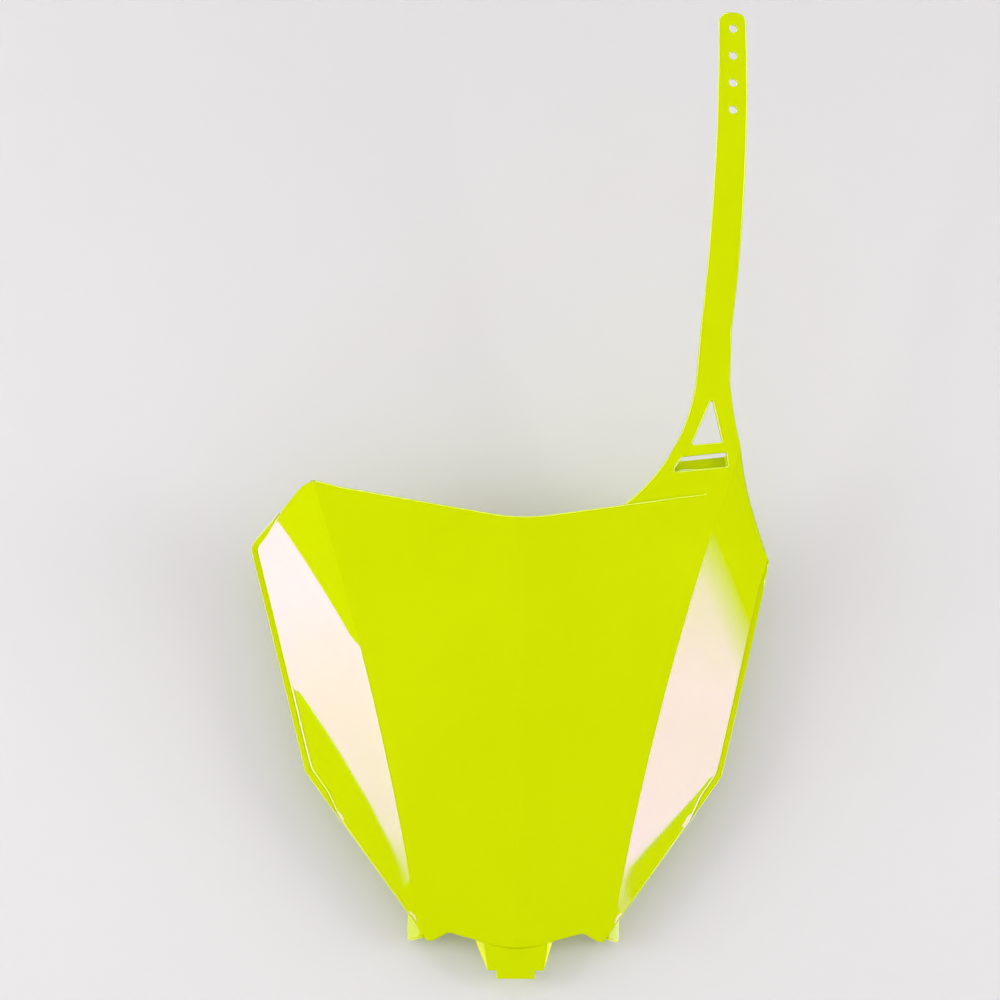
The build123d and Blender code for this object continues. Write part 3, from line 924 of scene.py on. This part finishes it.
# %% Bend the web and strap
STRAP_WALL, WEB_STEP = 2.0, 1.0
STEP_FADE_START, STEP_FADE_END, STEP_LEAST = 70.0, 86.0, 0.04
CORNER_CUTS, CREASE_RISE, CREASE_TURNS = 12, 26.0, 10
WEB_SECANT = math.hypot(1, KEEL_SLOPE)
ACROSS, UPRIGHT = Vector((1.0, 0.0)), Vector((0.0, 1.0))


def fold_end():
    """Front-view point where the fold meets the edge between strap corner and shoulder."""
    grade = (SHOULDER.y - STRAP_CORNER.y) / (SHOULDER.x - STRAP_CORNER.x)
    x = STRAP_CORNER.x
    for _ in range(CREASE_TURNS):
        height = STRAP_CORNER.y + grade * (x - STRAP_CORNER.x)
        x = through(height, FOLDS)
    return Vector((x, height))


fold_point = fold_end()
CREASE_LEAN = (through(fold_point.y + CREASE_RISE, FOLDS) - fold_point.x) / CREASE_RISE


def web_depth(x, height, inside):
    """Depth of the web, or of its corner that carries the wing on, at a distance inside its front."""
    step = float(np.interp(x, (STEP_FADE_START, STEP_FADE_END), (WEB_STEP, STEP_LEAST)))
    flat = KEEL_SLOPE * x + (step + inside) * WEB_SECANT
    steepness = through(height, SLOPES)
    if height < fold_point.y:
        fold = through(height, FOLDS)
    else:
        fold = fold_point.x + CREASE_LEAN * (height - fold_point.y)
    wing = KEEL_SLOPE * fold + steepness * (x - fold) + STEP_LEAST + inside * math.hypot(1, steepness)
    return max(flat, wing)


def bend_web(shape):
    """Cuts the flat web along its bend lines and bends it."""
    steepness = through(fold_point.y, SLOPES)
    inner_shift = WEB_WALL * (math.hypot(1, steepness) - WEB_SECANT) / (steepness - KEEL_SLOPE)
    ramp_start = STRAP_CORNER.y + STEP_RISE
    crease_ends = fold_point.y - CREASE_RISE, fold_point.y + CREASE_RISE
    cuts = [(fold_point - ACROSS * shift, Vector((1.0, -CREASE_LEAN))) for shift in (0.0, inner_shift)]
    for height in (*np.linspace(*crease_ends, CORNER_CUTS), ramp_start, ramp_start + STEP_LENGTH):
        cuts.append((Vector((fold_point.x, height)), UPRIGHT))
    for x in (STEP_FADE_START, STEP_FADE_END, *np.linspace(fold_point.x, SHOULDER.x, CORNER_CUTS)):
        cuts.append((Vector((x, STRAP_CORNER.y)), ACROSS))
    for spot, normal in cuts:
        everything = shape.verts[:] + shape.edges[:] + shape.faces[:]
        bmesh.ops.bisect_plane(shape, geom=everything, dist=TOUCHING, plane_co=spot.to_3d(),
                               plane_no=normal.to_3d())
    for vert in shape.verts:
        x, height, through_wall = vert.co
        inside = WEB_WALL / 2 - through_wall
        thinned = min(max((height - ramp_start) / STEP_LENGTH, 0.0), 1.0) * (WEB_WALL - STRAP_WALL)
        inside = inside + thinned * (1 - inside / WEB_WALL)
        vert.co = (x, web_depth(x, height, inside), height)
    face_outwards(shape)


edit_mesh(strap_web.data, bend_web)
finish_piece(strap_web)

# %% [markdown]
# The small solid parts are rings of corners joined along a path: the ramp behind the slot,
# the tab with its tongue, and the two lugs. The ramp and the button stand square on the
# panel, so the panel's own directions are worked out first.

# %% Helpers for small solids
KEEL_TURN = math.atan(KEEL_SLOPE)
PANEL_ACROSS = Vector((math.cos(KEEL_TURN), math.sin(KEEL_TURN), 0.0))
PANEL_BACKWARDS = Vector((-math.sin(KEEL_TURN), math.cos(KEEL_TURN), 0.0))
UPWARDS = Vector((0.0, 0.0, 1.0))


def sweep(shape, profile, path):
    """Adds a solid along a path. profile(place) gives its corners at a place of the path."""
    join_rings(shape, [[shape.verts.new(p) for p in profile(place)] for place in path])


def close_solid(shape):
    """Merges touching points and turns all faces outwards."""
    bmesh.ops.remove_doubles(shape, verts=shape.verts[:], dist=TOUCHING)
    bmesh.ops.dissolve_degenerate(shape, edges=shape.edges[:], dist=TOUCHING)
    face_outwards(shape)


print("the panel leans back by", round(math.degrees(KEEL_TURN), 1), "degrees to each side")

# %% [markdown]
# Behind the slot's lower edge lie a short floor and a leaning wall, with a cheek at each
# end. Seen from the front they close the lower part of the slot. The slot is straight, so
# one section is drawn and pushed along it.

# %% Ramp behind the slot
LEDGE_WALL, LEDGE_DEPTH, LEDGE_GAP, LEDGE_EDGE = 1.6, 6.0, 1.4, 0.2
FLOOR_START, FLOOR_END, CHEEK_SINK = 2.0, 4.5, 1.3


def lay_ledge(shape):
    """Short floor and leaning wall behind the slot's lower edge, with a cheek at each end."""
    climb = SLOT_OPENING - LEDGE_GAP
    rear = [(LEDGE_DEPTH + LEDGE_WALL, climb), (FLOOR_END + LEDGE_WALL, -LEDGE_WALL)]
    ramp = [(FLOOR_START, -LEDGE_WALL), (FLOOR_START, 0), (FLOOR_END, 0), (LEDGE_DEPTH, climb)] + rear
    cheek = [(CHEEK_SINK, -LEDGE_WALL), (CHEEK_SINK, climb)] + rear
    tilt = math.atan(SLOT_TILT)
    along = PANEL_ACROSS * math.cos(tilt) + UPWARDS * math.sin(tilt)
    rising = along.cross(PANEL_BACKWARDS)
    foot = from_corner(SLOT_LEFT, SLOT_BASE)
    start = Vector((foot.x, KEEL_SLOPE * foot.x + WEB_STEP * WEB_SECANT, foot.y))
    length = (SLOT_RIGHT - SLOT_LEFT) / math.cos(tilt)
    spans = ((ramp, 0.0, length), (cheek, -LEDGE_WALL, 0.0), (cheek, length, length + LEDGE_WALL))
    for corners, first, last in spans:
        def profile(place, corners=corners):
            return [start + along * place + PANEL_BACKWARDS * y + rising * z for y, z in corners]

        sweep(shape, profile, (first, last))
    face_outwards(shape)


slot_ledge = small_piece("slot_ledge", lay_ledge, LEDGE_EDGE)

# %% [markdown]
# The tab at the foot is a shallow channel that slips over a seat on the motorbike, with a
# narrow tongue below it. Channel and tongue are made apart and joined by a boolean, so
# that the bevel afterwards rounds them as one moulding.

# %% Locating tab
TAB_SETBACK, TAB_DEPTH, TAB_FLARE, TAB_EDGE = 1.4, 12.0, 3.4, 0.3
TAB_FOOT_HALF, TAB_TOP_HALF, TAB_ROOT_HEIGHT = 12.7, 14.8, 48.0
TONGUE_HALF, TONGUE_LENGTH, TONGUE_ROUND = 8.7, 3.7, 0.8


def lay_tab(shape):
    """Flat seat between side walls that flare backwards."""
    near, seat = TAB_SETBACK, TAB_SETBACK + WALL
    stages = [
        (TONGUE_LENGTH, TAB_FOOT_HALF, TAB_FOOT_HALF, WALL),
        (LIP_HEIGHT, TAB_TOP_HALF, TAB_TOP_HALF + TAB_FLARE, TAB_DEPTH),
        (TAB_ROOT_HEIGHT, TAB_TOP_HALF, TAB_TOP_HALF, WALL),
    ]

    def channel(stage):
        height, front, rear, depth = stage
        far = near + depth
        share = (far - seat) / TAB_DEPTH
        inner_rear = front - WALL + (rear - front) * share
        half = [(rear, far), (front, near)]
        inner = [(front - WALL, seat), (inner_rear, far)]
        outline = [(-x, y) for x, y in half] + [(x, y) for x, y in reversed(half)]
        outline += [(x, y) for x, y in reversed(inner)] + [(-x, y) for x, y in inner]
        return [(x, y, height) for x, y in outline]

    sweep(shape, channel, stages)
    close_solid(shape)


def lay_tongue(shape):
    """Short plate below the tab, with rounded lower corners."""
    top = TONGUE_LENGTH + WALL
    ends = ((-TONGUE_HALF, 0), (TONGUE_HALF, 0), (TONGUE_HALF, top), (-TONGUE_HALF, top))
    loop = rounded([Vector(end) for end in ends], [TONGUE_ROUND, TONGUE_ROUND, 0, 0], CORNER_STEPS)
    sweep(shape, lambda depth: [(p.x, depth, p.y) for p in loop], (TAB_SETBACK, TAB_SETBACK + WALL))
    close_solid(shape)


locating_tab = add_object("locating_tab", mesh_from("locating_tab", lay_tab))
tab_tongue = add_object("tab_tongue", mesh_from("tab_tongue", lay_tongue))
join = locating_tab.modifiers.new("tongue", "BOOLEAN")
join.operation = "UNION"
join.solver = "EXACT"
join.object = tab_tongue
soften_edges(locating_tab, TAB_EDGE)
finish_piece(locating_tab)
bpy.data.objects.remove(tab_tongue)

# %% [markdown]
# Two walls run back from the lower corners of the panel and flare outwards, so that their
# tips show below the wings. One plan serves both, mirrored by the sign of its widths.

# %% Lugs behind the lower corners
LUG_ROOT_X, LUG_TIP_X, LUG_DEPTH, LUG_EDGE = 42.5, 48.7, 16.0, 0.35
LUG_FOOT, LUG_TIP, LUG_ROOT = 15.4, 16.0, 52.0


def lay_lugs(shape):
    """Two walls that flare outwards as they run back from the lower corners of the panel."""
    start = KEEL_SLOPE * LUG_ROOT_X + WALL / 2
    lean = Vector((LUG_TIP_X - LUG_ROOT_X, LUG_DEPTH - start)).normalized()
    inwards = Vector((-lean.y, lean.x)) * WALL
    root, tip = Vector((LUG_ROOT_X, start)), Vector((LUG_TIP_X, LUG_DEPTH))
    plan = [root, tip, tip + inwards, root + inwards]
    front, rear = start - WALL, LUG_DEPTH + WALL
    for hand in (1, -1):
        def level(ends, hand=hand):
            at_front, at_rear = ends
            heights = [at_front + (at_rear - at_front) * (p.y - front) / (rear - front) for p in plan]
            return [(hand * p.x, p.y, z) for p, z in zip(plan, heights)]

        sweep(shape, level, ((TOE_HEIGHT + WALL, LUG_FOOT), (LUG_ROOT, LUG_FOOT + LUG_TIP)))
    close_solid(shape)


rear_lugs = small_piece("rear_lugs", lay_lugs, LUG_EDGE)

# %% [markdown]
# A mushroom-shaped button on the back takes the strap's holes. It is round, so half of its
# section is turned about an axis that stands square on the panel.

# %% Button on the back
BUTTON_INBOARD, BUTTON_DROP, BUTTON_SINK, BUTTON_EDGE = 9.0, 24.0, 1.1, 0.25
BASE_RADIUS, BASE_HEIGHT = 4.5, 2.0
NECK_RADIUS, NECK_PLAY = 1.8, 0.8
HEAD_RADIUS, HEAD_TIP_RADIUS, HEAD_HEIGHT = 3.2, 1.8, 2.4
BUTTON_STEPS = 40


def lay_button(shape):
    """Button that the strap's holes are hooked on: a base, a neck and a wider head."""
    x, height = STRAP_CORNER.x - BUTTON_INBOARD, STRAP_CORNER.y - BUTTON_DROP
    foot = Vector((x, KEEL_SLOPE * x + WALL * WEB_SECANT, height))
    neck_top = BASE_HEIGHT + STRAP_WALL + NECK_PLAY
    head_top = neck_top + HEAD_HEIGHT
    section = [
        (0.0, -BUTTON_SINK), (BASE_RADIUS, -BUTTON_SINK),
        (BASE_RADIUS, BASE_HEIGHT), (NECK_RADIUS, BASE_HEIGHT),
        (NECK_RADIUS, neck_top), (HEAD_RADIUS, neck_top),
        (HEAD_TIP_RADIUS, head_top), (0.0, head_top),
    ]
    rings = []
    for step in range(BUTTON_STEPS):
        angle = 2 * math.pi * step / BUTTON_STEPS
        out = PANEL_ACROSS * math.cos(angle) + UPWARDS * math.sin(angle)
        rings.append([shape.verts.new(foot + out * r + PANEL_BACKWARDS * h) for r, h in section])
    for step, ring in enumerate(rings):
        after = rings[(step + 1) % BUTTON_STEPS]
        for low in range(len(section) - 1):
            shape.faces.new([ring[low], after[low], after[low + 1], ring[low + 1]])
    close_solid(shape)


strap_button = small_piece("strap_button", lay_button, BUTTON_EDGE)

# %% [markdown]
# The board stands in front of pale grey studio paper that leans away from it. Its lugs
# nearly touch the paper, so it throws a soft shadow that is darkest at its foot. A pale
# floor lies below. Reflections don't see the floor or the lower part of the paper.
# Seen from behind, the paper is clear, so that the back of the board can be looked at too.

# %% Wall and floor
WALL_GAP, WALL_LEAN, FLOOR_HEIGHT = 0.0122, 0.30, -0.035
REACH, MIRRORED_FROM = 2.5, 0.36
WALL_TINTS = ((0.778, 0.770, 0.782, 1.0), (0.792, 0.784, 0.796, 1.0))
FLOOR_TINTS = ((0.91, 0.91, 0.91, 1.0), (0.93, 0.93, 0.93, 1.0))
PAPER_GRAIN, PAPER_SPAN, PAPER_ROUGHNESS = (1500.0, 3.0), (0.2, 0.8), 0.9


def build_paper(name, tints, clear_behind):
    """Matt studio paper with a faint grain, between two greys."""
    material, shader, _ = grained_material(name, PAPER_GRAIN, PAPER_SPAN, tints)
    nodes, links = material.node_tree.nodes, material.node_tree.links
    shader.inputs["Roughness"].default_value = PAPER_ROUGHNESS
    shader.inputs["Specular IOR Level"].default_value = 0.0
    if clear_behind:
        clear = nodes.new("ShaderNodeBsdfTransparent")
        side = nodes.new("ShaderNodeNewGeometry")
        choose = nodes.new("ShaderNodeMixShader")
        links.new(side.outputs["Backfacing"], choose.inputs["Fac"])
        links.new(shader.outputs[0], choose.inputs[1])
        links.new(clear.outputs[0], choose.inputs[2])
        links.new(choose.outputs[0], nodes["Material Output"].inputs["Surface"])
    return material


def add_card(name, corners, material):
    """A flat stage surface. Its front is the side from which its corners run anticlockwise."""
    mesh = bpy.data.meshes.new(name)
    mesh.from_pydata(corners, [], [list(range(len(corners)))])
    mesh.materials.append(material)
    card = add_object(name, mesh)
    return card


def rectangle(widths, first, last):
    """Corners between two distances from the middle and two pairs of depth and height."""
    left, right = widths
    return [(left, *first), (right, *first), (right, *last), (left, *last)]


def wall_band(low, high):
    """Corners of the part of the leaning wall between two heights."""
    near, far = WALL_GAP + WALL_LEAN * low, WALL_GAP + WALL_LEAN * high
    return rectangle((-REACH, REACH), (near, low), (far, high))


wall_paper = build_paper("wall_paper", WALL_TINTS, True)
floor_paper = build_paper("floor_paper", FLOOR_TINTS, False)
floor_corners = rectangle((-REACH, REACH), (-REACH, FLOOR_HEIGHT), (REACH, FLOOR_HEIGHT))
studio_wall = add_card("studio_wall", wall_band(FLOOR_HEIGHT, MIRRORED_FROM), wall_paper)
add_card("upper_wall", wall_band(MIRRORED_FROM, REACH), wall_paper)
studio_floor = add_card("studio_floor", floor_corners, floor_paper)
studio_wall.visible_glossy = False
studio_floor.visible_glossy = False
print("wall", WALL_GAP, "m behind the seat, floor", -FLOOR_HEIGHT, "m below it")

# %% [markdown]
# Plain soft light: a softbox on each side for the wings, a weak one in front on the upper
# left, and a pale sky that fills every shadow. A lamp behind keeps the back of the board
# readable: light linking lets it pass the paper, so only the board blocks it. The sky is a
# trace warmer than the lamps, so the shadows on the paper turn slightly warm as well.

# %% Lamps and sky
AIM = Vector((0.0, 0.0, 0.12))
LAMP_COLOUR = (0.965, 1.0, 0.985)
SKY_COLOUR, SKY_STRENGTH = (1.0, 0.935, 0.955, 1.0), 0.56
# Each lamp has a place, a size in metres and a power in watts.
LAMPS = {
    "softbox_front": ((-0.5, -1.2, 0.8), 1.4, 2.0),
    "softbox_left": ((-1.5, -0.75, 0.1), 1.0, 18.6),
    "softbox_right": ((1.5, -0.75, 0.1), 1.0, 16.8),
    "back_fill": ((0.3, 1.6, 1.2), 1.4, 6.0),
}


def add_lamp(name, place, size, power):
    """A square softbox that looks at the board."""
    light = bpy.data.lights.new(name, "AREA")
    light.shape = "SQUARE"
    light.size = size
    light.energy = power
    light.color = LAMP_COLOUR
    lamp = add_object(name, light)
    lamp.rotation_mode = "QUATERNION"
    lamp.rotation_quaternion = (AIM - Vector(place)).to_track_quat("-Z", "Y")
    lamp.location = place
    return lamp


*front_lamps, back_fill = [add_lamp(name, *values) for name, values in LAMPS.items()]
for lamp in front_lamps:
    lamp.visible_glossy = False
blockers = bpy.data.collections.new("back_fill_blockers")
for piece in (board_skin, wing_rims, strap_web, slot_ledge, locating_tab, rear_lugs, strap_button):
    blockers.objects.link(piece)
back_fill.light_linking.blocker_collection = blockers

sky = bpy.data.worlds.new("studio_sky")
bpy.context.scene.world = sky
sky.use_nodes = True
sky_light = sky.node_tree.nodes["Background"]
sky_light.inputs["Color"].default_value = SKY_COLOUR
sky_light.inputs["Strength"].default_value = SKY_STRENGTH
sky.cycles_visibility.glossy = False
print(len(LAMPS), "lamps, and a sky of strength", SKY_STRENGTH)

# %% [markdown]
# What makes the wings look glossy is what they mirror: a bright softbox on each side. Each
# is a card that only reflections see. Its place comes from following the camera's line of
# sight to a wing and on by the law of reflection, so its edges fall where they should. Its
# light fades along given directions, which gives the reflections their soft ends.

# %% Glow of the cards
CARD_DISTANCE = 0.8
FADE_SOCKETS = ("From Min", "From Max", "To Min", "To Max")


def card_sides(azimuth):
    """Directions out to a card and along it. Azimuth turns from the front towards the right."""
    turned = math.radians(azimuth)
    out = Vector((math.sin(turned), -math.cos(turned), 0.0))
    return out, Vector((math.cos(turned), math.sin(turned), 0.0))


def card_corners(azimuth, corners):
    """Places on an upright plane round the board from distances along it and heights over the aim."""
    out, along = card_sides(azimuth)
    return [AIM + out * CARD_DISTANCE + along * u + UPWARDS * v for u, v in corners]


def build_glow(name, tint, strength, fades=()):
    """Emission for a card. A fade is a direction, two distances and the share of light at each."""
    material = bpy.data.materials.new(name)
    material.use_nodes = True
    nodes, links = material.node_tree.nodes, material.node_tree.links
    nodes.remove(nodes["Principled BSDF"])
    glow = nodes.new("ShaderNodeEmission")
    glow.inputs["Color"].default_value = tint
    glow.inputs["Strength"].default_value = strength
    links.new(glow.outputs[0], nodes["Material Output"].inputs["Surface"])
    for direction, *span in fades:
        coordinates = nodes.new("ShaderNodeTexCoord")
        measure = nodes.new("ShaderNodeVectorMath")
        measure.operation = "DOT_PRODUCT"
        measure.inputs[1].default_value = direction
        links.new(coordinates.outputs["Object"], measure.inputs[0])
        fade = nodes.new("ShaderNodeMapRange")
        for label, value in zip(FADE_SOCKETS, span):
            fade.inputs[label].default_value = value
        links.new(measure.outputs["Value"], fade.inputs["Value"])
        strength = calculate(material.node_tree, "MULTIPLY", fade.outputs["Result"], strength)
        links.new(strength, glow.inputs["Strength"])
    return material


print("cards stand", CARD_DISTANCE, "m from the aim")

# %% Softboxes that the wings mirror
CARD_TINT, CARD_STRENGTH = (0.48, 0.095, 1.0, 1.0), 16.0
LEFT_AZIMUTH, RIGHT_AZIMUTH = -66.0, 72.0
LEFT_CARD = [(-0.75, 0.136), (0.585, -0.322), (0.585, -0.192), (-0.75, 0.486)]
RIGHT_CARD = [
    (-0.53, -0.200), (-0.53, -0.27), (0.90, -0.27), (0.90, -0.237), (0.046, 0.251), (-0.166, 0.061),
    (-0.244, 0.010), (-0.434, -0.139), (-0.4745, -0.1685), (-0.514, -0.189), (-0.5275, -0.1985),
]
SOFT_EDGE_FROM, SOFT_EDGE_TO, SOFT_EDGE_WIDTH = 3, 4, 0.11

left_along = card_sides(LEFT_AZIMUTH)[1]
right_out, right_along = card_sides(RIGHT_AZIMUTH)
right_places = card_corners(RIGHT_AZIMUTH, RIGHT_CARD)
upper_edge = (right_places[SOFT_EDGE_TO] - right_places[SOFT_EDGE_FROM]).normalized()
edge_inwards = right_out.cross(upper_edge)
edge_start = edge_inwards.dot(right_places[SOFT_EDGE_FROM])
# Each fade has a direction, two distances along it and the share of light at each.
left_fades = [
    (left_along, -0.6, -0.25, 0.9, 1.2),
    (left_along, -0.25, 0.6, 1.0, 0.7),
    (left_along, 0.48, 0.58, 1.0, 0.3),
]
right_fades = [
    (edge_inwards, edge_start, edge_start + SOFT_EDGE_WIDTH, 0.0, 1.0),
    (right_along, 0.0, 0.65, 1.0, 0.05),
    (right_along, -0.45, -0.1, 1.15, 1.0),
    (right_along, -0.53, -0.46, 0.25, 1.0),
]
left_glow = build_glow("glow_left", CARD_TINT, CARD_STRENGTH, left_fades)
right_glow = build_glow("glow_right", CARD_TINT, CARD_STRENGTH, right_fades)
cards = [
    add_card("mirror_card_left", card_corners(LEFT_AZIMUTH, LEFT_CARD), left_glow),
    add_card("mirror_card_right", right_places, right_glow),
]
print(len(cards), "softboxes for the wings")

# %% [markdown]
# Weaker cards finish the small faces. Low strips behind the foot of the board give its
# lugs and tab something pale to mirror, and a yellow one between them stands for light that
# the board throws back. Cards high on both sides and overhead brighten the rounded edges.

# %% Cards for small faces and edges
WHITE, BOUNCED = (1.0, 1.0, 1.0, 1.0), (1.0, 1.0, 0.14, 1.0)
STRIP_STRENGTH, EDGE_STRENGTH = 1.3, 7.0
STRIP_START, STRIP_END, STRIP_TOP, STRIP_DEPTH = 0.09, 0.30, 0.06, 0.075
EDGE_CARD = [(-0.4, 0.36), (0.1, 0.36), (0.1, 0.8), (-0.4, 0.8)]
ROOF_WIDTHS, ROOF_NEAR, ROOF_FAR, ROOF_HEIGHT = (-0.8, 0.3), -1.2, -0.2, 1.2

strip_glow = build_glow("glow_low", WHITE, STRIP_STRENGTH)
bounce_glow = build_glow("glow_bounced", BOUNCED, STRIP_STRENGTH)
edge_glow = build_glow("glow_edges", WHITE, EDGE_STRENGTH)
low_cards = (
    ("mirror_card_low_right", (STRIP_START, STRIP_END), strip_glow),
    ("mirror_card_low_left", (-STRIP_START, -STRIP_END), strip_glow),
    ("mirror_card_low_middle", (-STRIP_START, STRIP_START), bounce_glow),
)
for name, widths, glow in low_cards:
    corners = rectangle(widths, (STRIP_DEPTH, FLOOR_HEIGHT), (STRIP_DEPTH, STRIP_TOP))
    cards.append(add_card(name, corners, glow))
roof_corners = rectangle(ROOF_WIDTHS, (ROOF_NEAR, ROOF_HEIGHT), (ROOF_FAR, ROOF_HEIGHT))
cards += [
    add_card("edge_card_left", card_corners(LEFT_AZIMUTH, EDGE_CARD), edge_glow),
    add_card("edge_card_right", card_corners(RIGHT_AZIMUTH, EDGE_CARD), edge_glow),
    add_card("edge_card_top", roof_corners, edge_glow),
]
for card in cards:
    card.visible_camera = False
    card.visible_diffuse = False
    card.visible_shadow = False
    card.visible_transmission = False
print(len(cards), "cards in all")
